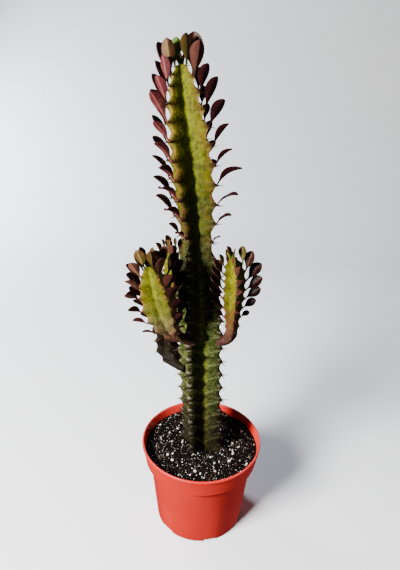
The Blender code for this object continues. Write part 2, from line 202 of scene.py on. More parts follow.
# Leaf lengths in millimetres, for each rib from its top tooth downwards
LEAF_LENGTHS = {
    "main_stem": (
        (24, 30, 26, 26, 33, 26, 29, 28, 33, 32, 20), (26, 32, 27, 32, 30, 28, 26, 34, 29, 22, 13),
        (26, 38, 20, 18, 18, 20, 21, 22, 18), (22, 33, 29, 33, 36, 30, 29, 31, 31, 32, 18),
    ),
    "arm_front_left": (
        (22, 21, 18, 18, 18, 17, 15, 11), (19, 24, 24, 22, 20, 17, 14, 11),
        (18, 24, 26, 27, 27, 26, 24, 20), (20, 21, 23, 24, 24, 24, 23, 20),
    ),
    "arm_back_left": (
        (13, 18, 19, 19, 18, 16, 14, 12), (14, 21, 22, 22, 22, 21, 19, 17, 14, 11),
        (12, 20, 21, 21, 20, 18, 15, 12), (12, 16, 15, 14, 13, 11, 10),
    ),
    "arm_right": (
        (15, 18, 19, 20, 20, 18, 13), (15, 17, 16, 14, 12, 10, 8),
        (19, 23, 24, 23, 21, 17, 12), (14, 20, 22, 22, 21, 18, 13),
    ),
}
# Degrees above the horizontal from a leaf's root to its tip, by place from the top, for each rib
LEAF_RISE = {
    "main_stem": (
        ((0, 1, 2, 4, 6, 8, 10), (104, 88, 84, 60, 46, 36, 33)),
        ((0, 1, 3, 5, 7, 8, 10), (83, 68, 58, 45, 32, 27, 38)),
        ((0, 2, 4, 6, 8), (84, 76, 62, 45, 35)),
        ((0, 1, 4, 6, 8, 10), (86, 70, 68, 58, 46, 42)),
    ),
    "arms": (((0, 1, 2, 4, 6), (80, 66, 50, 42, 36)),) * 4,
}
LEAF_CURL = ((0, 3, 5, 6, 7, 10), (-8, 2, 18, 36, 52, 56))
# How far the smaller leaves of an arm's ribs turn aside from their ribs, in radians
ARM_LEAF_SWING = {
    "arm_front_left": (-0.45, 0.3, -0.3, 0.5), "arm_back_left": (-0.3, 0.2, -0.2, 0.4),
    "arm_right": (-0.3, 0.35, -0.3, 0.3),
}
# Width over length, by place from the top
LEAF_BREADTH = {
    "main_stem": ((0, 3, 5, 8), (0.42, 0.42, 0.37, 0.35)), "arms": ((0, 2, 3, 5), (0.44, 0.52, 0.57, 0.48)),
}
LEAF_FOLD = 0.45  # how far the edges of a blade rise above its midrib, over its half width
LEAF_THICKNESS = 0.9 * MM
LEAF_GRID = 8, 22
LEAF_SEAT = 0.6 * MM  # how far a leaf's root sits inside the point of its tooth
LEAST_BEND = 1e-5  # keeps a leaf's curl from dividing by zero at its root
TWIST_STRETCH = 0.35  # the share of a leaf, from its root, over which it twists
VEINS, VEIN_SLANT = 9, 1.6  # veins along a blade, and how many spacings each climbs on its way to the edge
BUDS, BUD_TURN, BUD_BREADTH = 5, 2.4, 0.42  # each bud stands a golden angle round from the last
# How far a rib's leaves turn about their own length, in radians, at the top and from the sixth place down
LEAF_TWIST = {
    "main_stem": ((-0.45, -0.2), (0.5, 0.1), (-0.5, -0.4), (0.0, 0.1)),
    "arm_front_left": ((-0.5, -0.8), (0.5, 0.6), (-0.4, -0.5), (0.1, 0.1)),
    "arm_back_left": ((0.4, 0.5), (0.4, 0.5), (-0.7, -0.8), (0.0, 0.0)),
    "arm_right": ((0.5, 0.7), (0.4, 0.4), (-0.8, -0.9), (-0.5, -0.6)),
}
# How far each rib's leaves are darkened towards a red that is nearly black: painted shade on the ribs whose
# leaves lie in shade, and the real darkening of older leaves
LEAF_WINE_AND_SHADE = {
    "main_stem": (0.05, 0.78, 0.85, 0.75), "arm_front_left": (0.35, 0.93, 0.95, 0.85),
    "arm_back_left": (0.7, 0.85, 0.92, 0.7), "arm_right": (0.95, 0.65, 0.97, 0.95),
}
WINE_BY_PLACE = (0.4, 0.3)  # the share of it that the top leaf has, and what each place below it adds
# How newly opened the leaves at the top teeth are, for each rib: 0 is full grown and 1 just opened
LEAF_YOUTH = {
    "main_stem": ((1, 0.55), (0.65, 0.15), (0.45, 0.35), (0.2,)), "arms": ((0.62, 0.35, 0.18, 0.05),) * 4,
}


def smooth_route(points, samples=240):
    """Points along a smooth curve through the route's points, and the distance to each."""
    knots = [Vector(p) * MM for p in points]
    ends = [2 * knots[0] - knots[1]] + knots + [2 * knots[-1] - knots[-2]]
    line = []
    spans = len(knots) - 1
    for i in range(samples + 1):
        at = min(i * spans / samples, spans - 1e-9)
        span, t = int(at), at - int(at)
        a, b, c, d = ends[span : span + 4]
        square, cube = 2 * a - 5 * b + 4 * c - d, 3 * b - a - 3 * c + d
        line.append(0.5 * ((2 * b) + (c - a) * t + square * t**2 + cube * t**3))
    steps = [0.0] + [(q - p).length for p, q in zip(line, line[1:])]
    return line, np.cumsum(steps)


def between(x, stops, rows):
    """Rows of vectors, interpolated at x."""
    rows = np.array(rows)
    return np.stack([np.interp(x, stops, rows[:, k]) for k in range(3)], axis=-1)


class Stem:
    """A ribbed, toothed stem along a smooth route. Its functions take arrays of turns and distances."""

    def __init__(self, name, plan):
        self.name = name
        self.plan = plan
        self.line, self.far = smooth_route(plan["route"])
        self.length = float(self.far[-1])
        self.teeth = np.array(plan["teeth"])
        self.front, self.right, self.along = self.carried_frames()

    def carried_frames(self):
        """The front, right and upward directions at each point, carried from the tip without twisting."""
        found = []
        front = Vector((0, -1, 0))
        for i in range(len(self.line) - 1, -1, -1):
            lower, upper = max(i - 1, 0), min(i + 1, len(self.line) - 1)
            along = (self.line[upper] - self.line[lower]).normalized()
            front = (front - front.dot(along) * along).normalized()
            found.append((front.copy(), along.cross(front), along))
        return zip(*found[::-1])

    def frame_at(self, distance):
        """Position, front, right and upward directions at distances up the stem, or below its start."""
        rows = self.line, self.front, self.right, self.along
        place, front, right, upward = (between(distance, self.far, row) for row in rows)
        return place + upward * np.minimum(distance, 0)[..., None], front, right, upward

    def tooth(self, distance):
        """1 at the point of a tooth and 0 in the notch between two teeth."""
        i = np.clip(np.searchsorted(self.teeth, distance), 1, len(self.teeth) - 1)
        low, high = self.teeth[i - 1], self.teeth[i]
        share = np.clip((distance - low) / (high - low), 0, 1)
        inside = np.abs(2 * share**TOOTH_LEAN - 1) ** TOOTH_BULGE
        past = np.maximum(self.teeth[0] - distance, distance - self.teeth[-1])
        return np.where(past > 0, np.maximum(0, 1 - past / END_TOOTH_REACH), inside)

    def placed(self, turn, distance):
        """The distance up the stem once the rib's own phase is counted."""
        offsets = np.array(self.plan["phase"] + self.plan["phase"][:1]) * MM
        fade = np.clip(np.minimum(distance, self.length - distance) / PHASE_FADE, 0, 1)
        return distance + np.interp(turn % RIBS, range(RIBS + 1), offsets) * fade

    def compass(self, turn, distance):
        """The compass angle of a turn, in radians; the ribs wind a little on their way up."""
        share = distance / self.length
        shares = self.plan.get("rib_shares", (0, 1))
        ribs = [np.interp(share, shares, row) for row in self.plan["rib_angles"]]
        ribs = np.stack(ribs + [ribs[0] + 360], axis=-1)
        rib = np.clip((turn % RIBS).astype(int), 0, RIBS - 1)
        low = np.take_along_axis(ribs, rib[..., None], -1)[..., 0]
        high = np.take_along_axis(ribs, rib[..., None] + 1, -1)[..., 0]
        return np.radians(low + (high - low) * (turn % RIBS - rib))

    def surface(self, turn, distance):
        """Points of the skin, with how close each is to a crest, to a tooth and to the foot, from 0 to 1."""
        placed = self.placed(turn, distance)
        crest = np.interp(placed, *self.plan["crest"])
        valley = crest * np.interp(placed / self.length, *self.plan["valley_share"])
        tooth = self.tooth(distance)
        off = np.abs((turn + 0.5) % 1 - 0.5) * 2
        blunt = CREST_ROUNDING * (1 + TOOTH_ROUNDING * tooth)
        near = 1 - (np.sqrt(off**2 + blunt**2) - blunt) / (np.sqrt(1 + blunt**2) - blunt)
        foot = 1 - placed / self.length
        rib = (crest - valley) * near ** self.plan["flank_power"]
        point = np.interp(placed, *self.plan["tooth_height"]) * tooth * near ** np.interp(foot, *TOOTH_FADE)
        place, front, right, _ = self.frame_at(placed)
        angle = self.compass(turn, placed)[..., None]
        points = place + (front * np.cos(angle) + right * np.sin(angle)) * (valley + rib + point)[..., None]
        return points, {"crest": 1 - off, "tooth": tooth, "foot": foot}

    def tooth_tip(self, rib, place):
        """The tip of a tooth, counted from the top, with the outward and upward directions there."""
        distance = self.teeth[len(self.teeth) - 1 - place]
        turn = np.array([float(rib)])
        tip, _ = self.surface(turn, np.array([distance]))
        middle, _, _, up = self.frame_at(self.placed(turn, np.array([distance])))
        up = Vector(up[0]).normalized()
        outward = Vector(tip[0] - middle[0])
        return Vector(tip[0]), (outward - outward.dot(up) * up).normalized(), up


# Tools for meshes


def in_scene(name, data):
    """A new object of that data, in the scene."""
    made = bpy.data.objects.new(name, data)
    bpy.context.scene.collection.objects.link(made)
    return made


def select_nothing():
    if bpy.context.mode != "OBJECT":
        bpy.ops.object.mode_set(mode="OBJECT")
    bpy.ops.object.select_all(action="DESELECT")


def take(piece):
    """Makes a piece the only one that operators act on."""
    select_nothing()
    piece.select_set(True)
    bpy.context.view_layer.objects.active = piece


def edit(piece):
    """Opens a piece in edit mode with all of it selected."""
    take(piece)
    bpy.ops.object.mode_set(mode="EDIT")
    bpy.ops.mesh.select_all(action="SELECT")


def close_up():
    """Turns every face of the open piece outwards and leaves edit mode."""
    bpy.ops.mesh.select_all(action="SELECT")
    bpy.ops.mesh.normals_make_consistent(inside=False)
    bpy.ops.object.mode_set(mode="OBJECT")


def smooth(piece, degrees):
    """Shades a piece smooth, but for the edges that are sharper than that."""
    take(piece)
    bpy.ops.object.shade_smooth_by_angle(angle=math.radians(degrees))


def points_of(mesh):
    found = np.empty(len(mesh.vertices) * 3, np.float32)
    mesh.vertices.foreach_get("co", found)
    return found.reshape(-1, 3).astype(float)


def place_points(mesh, points):
    mesh.vertices.foreach_set("co", np.asarray(points, np.float32).ravel())
    mesh.update()


def mark(mesh, name, values):
    """A number at every vertex, for a material to read."""
    layer = mesh.attributes.new(name, "FLOAT", "POINT")
    layer.data.foreach_set("value", np.broadcast_to(values, len(mesh.vertices)).astype(np.float32))


def apply_all(piece):
    take(piece)
    for step in list(piece.modifiers):
        bpy.ops.object.modifier_apply(modifier=step.name)


def sheet_of(name, across, along):
    """A flat grid, with where each of its points lies across and along it, from 0 to 1."""
    select_nothing()
    bpy.ops.mesh.primitive_grid_add(x_subdivisions=across, y_subdivisions=along, size=2)
    piece = bpy.context.object
    piece.name = piece.data.name = name
    flat = points_of(piece.data)
    return piece, (flat[:, 0] + 1) / 2, (flat[:, 1] + 1) / 2


def dress(piece, slot, *materials):
    """Gives a piece its finishes and joins it to the plant."""
    piece.data.materials.clear()
    for material in materials:
        piece.data.materials.append(material)
    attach(piece, "root")
    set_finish(piece, slot)


def mesh_of_copies(name, shapes, places):
    """One mesh that holds a copy of a shape, taken in turn from a list, at each place."""
    points, faces, count = [], [], 0
    for i, place in enumerate(places):
        shape_points, shape_faces = shapes[i % len(shapes)]
        moved = shape_points @ np.array(place.to_3x3()).T + np.array(place.translation)
        points.append(moved)
        faces += [[corner + count for corner in face] for face in shape_faces]
        count += len(moved)
    mesh = bpy.data.meshes.new(name)
    mesh.from_pydata(np.concatenate(points).tolist(), [], faces)
    return in_scene(name, mesh)


def taken_apart(piece):
    """The points and faces of a modelled shape, which is then removed."""
    shape = points_of(piece.data), [list(face.vertices) for face in piece.data.polygons]
    bpy.data.objects.remove(piece, do_unlink=True)
    return shape


# Finishes

BUMP_STRENGTH = 0.8


def linear(code):
    """An sRGB hex colour as linear red, green, blue and alpha."""
    parts = [int(code[i : i + 2], 16) / 255 for i in (0, 2, 4)]
    return [part / 12.92 if part <= 0.04045 else ((part + 0.055) / 1.055) ** 2.4 for part in parts] + [1]


def shade_of(tint):
    """A hex colour or a grey level, as a colour."""
    return linear(tint) if isinstance(tint, str) else (tint, tint, tint, 1)


def node(tree, kind, inputs=None, output=0, stops=(), **settings):
    """Adds a node and gives one of its outputs. An input is a value, a hex colour or another node's output,
    and the stops are a ramp's places with hex colours or grey levels."""
    made = tree.nodes.new("ShaderNode" + kind)
    for name, value in settings.items():
        setattr(made, name, value)
    for socket, value in (inputs or {}).items():
        if isinstance(value, bpy.types.NodeSocket):
            tree.links.new(value, made.inputs[socket])
        else:
            made.inputs[socket].default_value = linear(value) if isinstance(value, str) else value
    for i, (place, tint) in enumerate(stops):
        elements = made.color_ramp.elements
        element = elements[i] if i < 2 else elements.new(place)
        element.position = place
        element.color = shade_of(tint)
    return made.outputs[output]


def new_finish(name, **sockets):
    """A new material and its node tree, with settings for its shader."""
    made = bpy.data.materials.new(name)
    made.use_nodes = True
    shader = made.node_tree.nodes["Principled BSDF"]
    for socket, value in sockets.items():
        shader.inputs[socket.replace("_", " ")].default_value = value
    return made, made.node_tree


def per_mm(size):
    """A texture's scale from the size in millimetres of one of its features."""
    return 1000 / size


def patches(tree, size, *stops, detail=3, stretch=(1, 1, 1), warp=0.0):
    """Irregular patches about size millimetres across; the stops say what each depth of them gives, which is
    a soft change from 0 to 1 where there are none."""
    coords = node(tree, "TexCoord", output="Object")
    place = node(tree, "Mapping", {"Vector": coords, "Scale": stretch})
    inputs = {"Vector": place, "Scale": per_mm(size), "Detail": detail, "Distortion": warp}
    stops = stops or ((0.3, 0), (0.7, 1))
    return node(tree, "ValToRGB", {0: node(tree, "TexNoise", inputs)}, stops=stops)


def of_mark(tree, name, *stops):
    """What a piece's own mark gives, by stops."""
    value = node(tree, "Attribute", output="Fac", attribute_name=name)
    return node(tree, "ValToRGB", {0: value}, stops=stops)


def ragged(tree, name, size, depth):
    """A piece's mark with its edges made uneven by patches of that size in millimetres."""
    value = node(tree, "Attribute", output="Fac", attribute_name=name)
    wander = patches(tree, size, (0.25, 0.0), (0.75, 1.0))
    moved = node(tree, "Math", {0: wander, 1: depth, 2: -depth / 2}, operation="MULTIPLY_ADD")
    return node(tree, "Math", {0: value, 1: moved}, operation="ADD")


def where_all(tree, *shares):
    """Where several patterns show together: the product of their shares."""
    found = shares[0]
    for share in shares[1:]:
        found = node(tree, "Math", {0: found, 1: share}, operation="MULTIPLY")
    return found


def coats(tree, base, *layers):
    """Colours laid over one another; each layer is where it shows, its colour, and how strongly."""
    for where, tint, strength in layers:
        share = where_all(tree, where, strength)
        # 6 and 7 are the two colours that go into a Mix node, and 2 is the one that comes out
        base = node(tree, "Mix", {0: share, 6: base, 7: tint}, 2, data_type="RGBA")
    return base


def complete(made, tint, rough, relief=None, depth=0.0):
    """Joins a colour, a roughness and a relief of that depth in millimetres to the shader of a finish."""
    tree = made.node_tree
    shader = tree.nodes["Principled BSDF"]
    tree.links.new(tint, shader.inputs["Base Color"])
    tree.links.new(rough, shader.inputs["Roughness"])
    if relief:
        bump = node(tree, "Bump", {"Height": relief, "Distance": depth * MM, "Strength": BUMP_STRENGTH})
        tree.links.new(bump, shader.inputs["Normal"])
    return made


def moulded_polypropylene():
    """Injection-moulded polypropylene in coral red. The eye gets an even colour with a soft sheen,
    a faint moulded grain, and a little dried mix on the walls."""
    made, tree = new_finish("moulded_polypropylene", IOR=1.49)
    base = patches(tree, 45, (0.35, "DA2C24"), (0.65, "E2362B"), detail=2)
    dust = patches(tree, 4, (0.60, 0.0), (0.72, 1.0), detail=4)
    tint = coats(tree, base, (dust, "7A4033", 0.25))
    rough = patches(tree, 3, (0.3, 0.36), (0.7, 0.45), detail=4)
    return complete(made, tint, rough, patches(tree, 0.9, detail=2), 0.03)


def living_skin(name, valley, flank, margin, spots):
    """Waxy succulent skin. The eye gets a pale valley, a mottled flank with paler streaks running down from
    each tooth, and a dry margin along each crest. Valley, flank and margin are stops from tip to foot, and
    spots are how strongly the dark islands, pale marks, streaks, scars and dark foot show."""
    made, tree = new_finish(name, IOR=1.45, Specular_IOR_Level=0.12)
    age = ragged(tree, "foot", 24, 0.1)
    dark, pale, streaked, scarred, footed = spots
    in_valley, on_flank, on_margin = (
        node(tree, "ValToRGB", {0: age}, stops=stops) for stops in (valley, flank, margin)
    )
    base = coats(tree, in_valley, (of_mark(tree, "crest", (0.08, 0), (0.5, 1)), on_flank, 1))
    clouds = patches(tree, 11, (0.42, 0), (0.62, 1), warp=0.5)
    islands = patches(tree, 5.5, (0.46, 0), (0.60, 1), detail=4, stretch=(1, 1, 0.8), warp=0.8)
    lines = patches(tree, 3.2, (0.50, 0), (0.62, 1), detail=4, stretch=(1, 1, 2.2), warp=1.4)
    marks = patches(tree, 2.4, (0.54, 0), (0.68, 1), stretch=(1, 1, 1.6), warp=1.2)
    tan = patches(tree, 8, (0.45, 0), (0.58, 1), warp=0.6)
    young = of_mark(tree, "foot", (0.3, 1), (0.5, 0))
    aged = of_mark(tree, "foot", (0.25, 0.1), (0.6, 1))
    streaks = node(tree, "ValToRGB", {0: ragged(tree, "streak", 3, 0.6)}, stops=((0.55, 0), (0.95, 1)))
    streak = where_all(tree, streaks, aged)
    edge = node(tree, "ValToRGB", {0: ragged(tree, "crest", 4, 0.1)}, stops=((0.87, 0), (0.95, 1)))
    scars = node(tree, "ValToRGB", {0: ragged(tree, "scar", 2, 0.5)}, stops=((0.55, 0), (0.85, 1)))
    crest, tooth = of_mark(tree, "crest", (0.72, 0), (0.9, 1)), of_mark(tree, "tooth", (0.55, 0), (0.85, 1))
    tint = coats(
        tree,
        base,
        (where_all(tree, clouds, young), "5E4E0E", 0.35),
        (islands, "1C2404", dark),
        (where_all(tree, lines, aged), "10140A", dark),
        (where_all(tree, tan, young, of_mark(tree, "crest", (0.5, 0), (0.85, 1))), "8A6224", 0.4),
        (where_all(tree, marks, aged), "A8B078", pale),
        (streak, "8F9866", streaked),
        (edge, on_margin, 0.85),
        (where_all(tree, tooth, crest), "3C2214", 0.75),
        (where_all(tree, scars, aged, of_mark(tree, "crest", (0.8, 0), (0.9, 1))), "D6D2C0", scarred),
        (of_mark(tree, "foot", (0.8, 0), (0.96, 1)), "130F08", footed),
    )
    rough = patches(tree, 6.5, (0.3, 0.5), (0.7, 0.65))
    relief = coats(tree, patches(tree, 2.2, (0.25, 0.0), (0.75, 1.0), detail=4), (streak, "FFFFFF", 0.5))
    return complete(made, tint, rough, relief, 0.45)


def leaf_finish(name, blade, rib, veins):
    """A fleshy, waxy leaf. The eye gets a softly glossy blade with dark clouds and dry brown patches, a paler
    midrib with faint veins, a dark rim, and a red that is nearly black over whole ribs of leaves: painted
    shade on the ribs in shade, and the real darkening of older leaves. Blade and rib are stops from a
    full-grown leaf to a new one, and veins is how strongly the veins show."""
    made, tree = new_finish(name, IOR=1.45, Specular_IOR_Level=0.2)
    pale = of_mark(tree, "youth", *rib)
    tint = coats(
        tree,
        of_mark(tree, "youth", *blade),
        (patches(tree, 6, (0.4, 0), (0.7, 1), warp=0.4), "16070A", 0.35),
        (patches(tree, 9, (0.52, 0), (0.66, 1), warp=0.6), "8C6048", 0.35),
        (of_mark(tree, "vein", (0.6, 0), (1, 1)), pale, veins),
        (of_mark(tree, "midrib", (0.3, 0), (0.85, 1)), pale, 0.55),
        (of_mark(tree, "across", (0.86, 0), (1, 1)), "2A0A10", 0.4),
        # painted shade, with the darkening of older leaves: near-black red over the leaves of shaded ribs
        (of_mark(tree, "wine_and_shade", (0, 0), (1, 1)), "150306", 0.9),
    )
    rough = patches(tree, 5, (0.3, 0.42), (0.7, 0.55))
    return complete(made, tint, rough, patches(tree, 1.6, detail=2), 0.1)


DRY_MARGIN = (0.15, "9C6C48"), (0.5, "85583E"), (0.75, "341C1A")
SKINS = {
    "main_stem": (
        "mature_euphorbia_skin",
        (
            # valley, tip to foot: the dip round 0.38 is painted shade where the arms shade the stem
            (0.05, "808A0A"), (0.2, "788608"), (0.38, "5C680C"), (0.5, "6A7A16"), (0.62, "86941E"),
            (0.9, "6C6812"),
        ),
        (
            # flank, tip to foot: the darkening from 0.25 to 0.6, nearly black round 0.46, is painted shade
            # where the arms shade the stem; it is also nearly black at the foot
            (0.05, "7A8006"), (0.17, "747C06"), (0.25, "566004"), (0.34, "3E4804"), (0.46, "2A3206"),
            (0.6, "34420E"), (0.76, "3C4A1A"), (0.93, "120E08"),
        ),
        ((0.1, "B8944C"), (0.3, "7A4A32"), (0.5, "2C1A18"), (0.9, "3E2C22")),
        (0.6, 0.4, 0.35, 0.35, 0.75),
    ),
    "arm_front_left": (
        "young_euphorbia_skin",
        ((0.15, "868C12"), (0.4, "80842A"), (0.56, "8C8250"), (0.7, "6E4238"), (0.82, "4A2426")),
        ((0.15, "7E8410"), (0.4, "787E28"), (0.54, "8C7E50"), (0.68, "70443A"), (0.8, "482224")),
        DRY_MARGIN,
        (0.45, 0.45, 0.05, 0, 0),
    ),
    "arm_right": (
        "sunned_euphorbia_skin",
        (
            (0.15, "8C9008"), (0.38, "80840A"), (0.54, "745A18"), (0.68, "6C4428"), (0.78, "5E3230"),
            (0.9, "4A2426"),
        ),
        (
            (0.15, "868806"), (0.38, "787A08"), (0.52, "705416"), (0.66, "6C4226"), (0.76, "603432"),
            (0.9, "482224"),
        ),
        DRY_MARGIN,
        (0.45, 0.15, 0.05, 0, 0),
    ),
    "arm_back_left": (
        "shaded_euphorbia_skin",
        # from 0.42 towards the foot this arm goes nearly black: partly its own dark brown, partly painted
        # shade
        ((0.15, "868C0A"), (0.3, "626610"), (0.42, "3A2810"), (0.55, "1A0A06"), (0.9, "180808")),
        ((0.15, "7E8408"), (0.3, "565A0E"), (0.42, "34200C"), (0.55, "160805"), (0.9, "160606")),
        ((0.15, "A86A50"), (0.4, "5A3226"), (0.6, "1C0C0A")),
        (0.5, 0, 0, 0, 0),
    ),
}
LEAF_FACES = (
    (
        "waxy_leaf_upper",
        ((0, "320C14"), (0.35, "401B17"), (0.65, "504414"), (1, "4E7414")),
        ((0, "8E444A"), (0.5, "9A6A52"), (1, "A8B468")),
        0.12,
    ),
    (
        "waxy_leaf_underside",
        ((0, "682A30"), (0.35, "875444"), (0.65, "64481F"), (1, "4E7018")),
        ((0, "B8706C"), (0.5, "BC9074"), (1, "A8B85C")),
        0.15,
    ),
)


def spine_horn():
    """Dead, horny spines. The eye gets near-black roots and a grey-brown shaft with a fine grain."""
    made, tree = new_finish("spine_horn", IOR=1.5)
    shaft = ragged(tree, "shaft", 4, 0.3)
    tint = node(tree, "ValToRGB", {0: shaft}, stops=((0.1, "160C09"), (0.5, "47342A"), (1.0, "2A1B15")))
    return complete(made, tint, patches(tree, 2, (0.3, 0.45), (0.7, 0.6)))


def damp_peat():
    """Damp peat with fine bark. The eye gets a nearly black ground, brown crumbs and a few pale fibres."""
    made, tree = new_finish("damp_peat", IOR=1.4, Specular_IOR_Level=0.15)
    crumbs = (0.38, "030202"), (0.58, "090605"), (0.72, "1A110D"), (0.84, "3A2A20")
    base = patches(tree, 2.2, *crumbs, detail=5, warp=0.5)
    fibres = patches(tree, 1.2, (0.62, 0), (0.74, 1), detail=4, stretch=(1, 0.3, 1), warp=1.5)
    tint = coats(tree, base, (fibres, "5A4636", 0.35))
    relief = patches(tree, 1.8, (0.2, 0), (0.8, 1), detail=5, warp=0.6)
    return complete(made, tint, patches(tree, 4, (0.3, 0.8), (0.7, 0.95)), relief, 1.6)


def composted_bark():
    """Composted bark. The eye gets dry brown crumbs of several shades with rough faces."""
    made, tree = new_finish("composted_bark", IOR=1.4, Specular_IOR_Level=0.2)
    tint = patches(tree, 9, (0.38, "0E0806"), (0.54, "1D1410"), (0.66, "3C2B22"), (0.76, "776352"), detail=2)
    grain = patches(tree, 0.8)
    return complete(made, tint, patches(tree, 3, (0.3, 0.75), (0.7, 0.95)), grain, 0.3)


def expanded_perlite():
    """Perlite, a volcanic glass puffed up by heat. The eye gets chalky white, pitted and stained grains."""
    made, tree = new_finish("expanded_perlite", IOR=1.5)
    tint = patches(tree, 7, (0.36, "8E7C6A"), (0.46, "D2C9BB"), (0.56, "F4F1EA"), detail=2)
    pits = patches(tree, 0.7)
    return complete(made, tint, patches(tree, 3, (0.3, 0.7), (0.7, 0.9)), pits, 0.25)


def studio_paper():
    """Seamless background paper. The eye gets a plain pale matt ground."""
    made, tree = new_finish("studio_paper", IOR=1.4)
    tint = patches(tree, 900, (0.3, "ECEEF0"), (0.7, "F0F1F2"), detail=1)
    return complete(made, tint, patches(tree, 60, (0.3, 0.85), (0.7, 0.92)))


# Pot and mix

# Roundings on the pot's section: at its steps, inside its floor, on the lip, under the collar and at the foot
EDGE = 1.0 * MM
INNER_FILLET = 3.0 * MM
BEAD = 0.8 * MM
TUCK = 1.3 * MM
HEEL = 2.2 * MM

BEAD_DEPTH = 3.0 * MM  # how far the lip stands straight below the rim
FOOT_RING = 9.0 * MM  # the width of the ring that the pot stands on
RECESS = 0.6 * MM  # how far the underside is raised inside it
POT_STEPS = 144
NOTCH_REACH = 14.0 * MM  # how deep a notch's cutter is, across the foot
NOTCH_ROUNDING = 0.5 * MM

MIX_STEPS = 190
# The size and depth of each kind of lump, in millimetres, and its layer of noise
MIX_LUMPS = (16, 1.1, 0.3), (4, 0.8, 4.1), (1.7, 0.5, 9.7)

# Where the loose grains lie, from the middle, and how they drift together
GRAINS_FROM, GRAINS_TO = 17.0 * MM, 69.5 * MM
DRIFT_SIZE = 20  # millimetres
DRIFT_STRENGTH = 1.6
FEW_LARGE = 3.4  # the larger this is, the fewer of the grains are large


def outline_of(name, profile):
    """An upright line through (radius, height) points, ready to be turned."""
    mesh = bpy.data.meshes.new(name)
    edges = [(i, i + 1) for i in range(len(profile) - 1)]
    mesh.from_pydata([(radius, 0, height) for radius, height in profile], edges, [])
    return in_scene(name, mesh)


def spin(piece, steps):
    """Turns an outline about the Z axis into a closed body."""
    edit(piece)
    bpy.ops.mesh.spin(steps=steps, angle=math.tau, center=(0, 0, 0), axis=(0, 0, 1))
    bpy.ops.mesh.select_all(action="SELECT")
    bpy.ops.mesh.remove_doubles(threshold=0.01 * MM)
    close_up()


def arc(centre, radius, start, end, steps):
    """Points on an arc in a profile, in degrees from straight out."""
    angles = np.radians(np.linspace(start, end, steps))
    return [(centre[0] + radius * math.cos(a), centre[1] + radius * math.sin(a)) for a in angles]


def wall_radius(height):
    """The outer radius of the pot's wall at a height below the collar."""
    return FOOT_RADIUS + height / STEP_HEIGHT * (WALL_TOP_RADIUS - FOOT_RADIUS)


def pot_profile():
    """The pot's section, from the middle of its floor up the inside, over the rim and down to the foot."""
    inner_foot = wall_radius(FLOOR) - WALL
    lip = RIM_RADIUS - RIM_INNER_RADIUS
    lip_middle = RIM_INNER_RADIUS + lip / 2, POT_HEIGHT - lip / 2
    inside = [(0, FLOOR), (inner_foot - INNER_FILLET, FLOOR), (inner_foot, FLOOR + INNER_FILLET)]
    ledge = arc((WALL_TOP_RADIUS - WALL + EDGE, STEP_HEIGHT + 0.2 * EDGE), EDGE, 180, 100, 5)
    bend = arc((COLLAR_FOOT_RADIUS - WALL - EDGE, STEP_HEIGHT + WALL + EDGE), EDGE, -80, -5, 5)
    rim = arc(lip_middle, lip / 2, 175, 5, 9)
    bead_middle = RIM_RADIUS - BEAD - 0.1 * MM, POT_HEIGHT - BEAD_DEPTH - 0.4 * MM
    bead = [(RIM_RADIUS, POT_HEIGHT - BEAD_DEPTH)] + arc(bead_middle, BEAD, 0, -75, 4)
    collar = [(RIM_RADIUS - 1.5 * BEAD, POT_HEIGHT - BEAD_DEPTH - 2 * BEAD)]
    heel = arc((COLLAR_FOOT_RADIUS - EDGE, STEP_HEIGHT + EDGE), EDGE, 0, -85, 6)
    corner = WALL_TOP_RADIUS + 1.2 * MM
    tuck = [(corner, STEP_HEIGHT)] + arc((corner, STEP_HEIGHT - TUCK), TUCK, 100, 170, 5)
    foot = arc((wall_radius(0) - HEEL, HEEL), HEEL, -4, -88, 7)
    base = [(FOOT_RADIUS - FOOT_RING, 0), (FOOT_RADIUS - FOOT_RING - 1 * MM, RECESS), (0, RECESS)]
    return inside + ledge + bend + rim + bead + collar + heel + tuck + foot + base


def make_pot(plastic):
    """The turned pot, with drainage notches cut through the foot of its wall."""
    pot = outline_of("nursery_pot", pot_profile())
    spin(pot, POT_STEPS)
    for i in range(NOTCH_COUNT):
        select_nothing()
        turn = Matrix.Rotation(NOTCH_FIRST_ANGLE + math.tau * i / NOTCH_COUNT, 4, "Z")
        bpy.ops.mesh.primitive_cube_add(size=1, location=turn @ Vector((0, -FOOT_RADIUS, 0)))
        cutter = bpy.context.object
        cutter.scale = (NOTCH_WIDTH, NOTCH_REACH, 2 * NOTCH_HEIGHT)
        cutter.rotation_euler = turn.to_euler()
        bpy.ops.object.transform_apply(location=False, rotation=False, scale=True)
        rounding = cutter.modifiers.new("rounding", "BEVEL")
        rounding.width = NOTCH_ROUNDING
        rounding.segments = 2
        step = pot.modifiers.new("notch", "BOOLEAN")
        step.operation = "DIFFERENCE"
        step.object = cutter
        apply_all(pot)
        bpy.data.objects.remove(cutter, do_unlink=True)
    smooth(pot, 38)
    dress(pot, "pot_plastic", plastic)
    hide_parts("pot")


def mix_height(x, y):
    """The lumpy top of the mix: a low mound round the stem, a settled edge, and swells, lumps and crumbs."""
    radius = math.hypot(x, y)
    level = np.interp(radius, (MIX_MOUND_RADIUS, MIX_EDGE_RADIUS), (MIX_STEM_HEIGHT, MIX_EDGE_HEIGHT))
    for size, depth, layer in MIX_LUMPS:
        level += depth * MM * noise.noise(Vector((x, y, layer)) * per_mm(size))
    return level


def mix_edge(height):
    """How far out the mix reaches inside the collar at a height."""
    share = (height - STEP_HEIGHT) / COLLAR_DEPTH
    return COLLAR_FOOT_RADIUS - WALL + share * (RIM_INNER_RADIUS - COLLAR_FOOT_RADIUS + WALL) - MIX_GAP


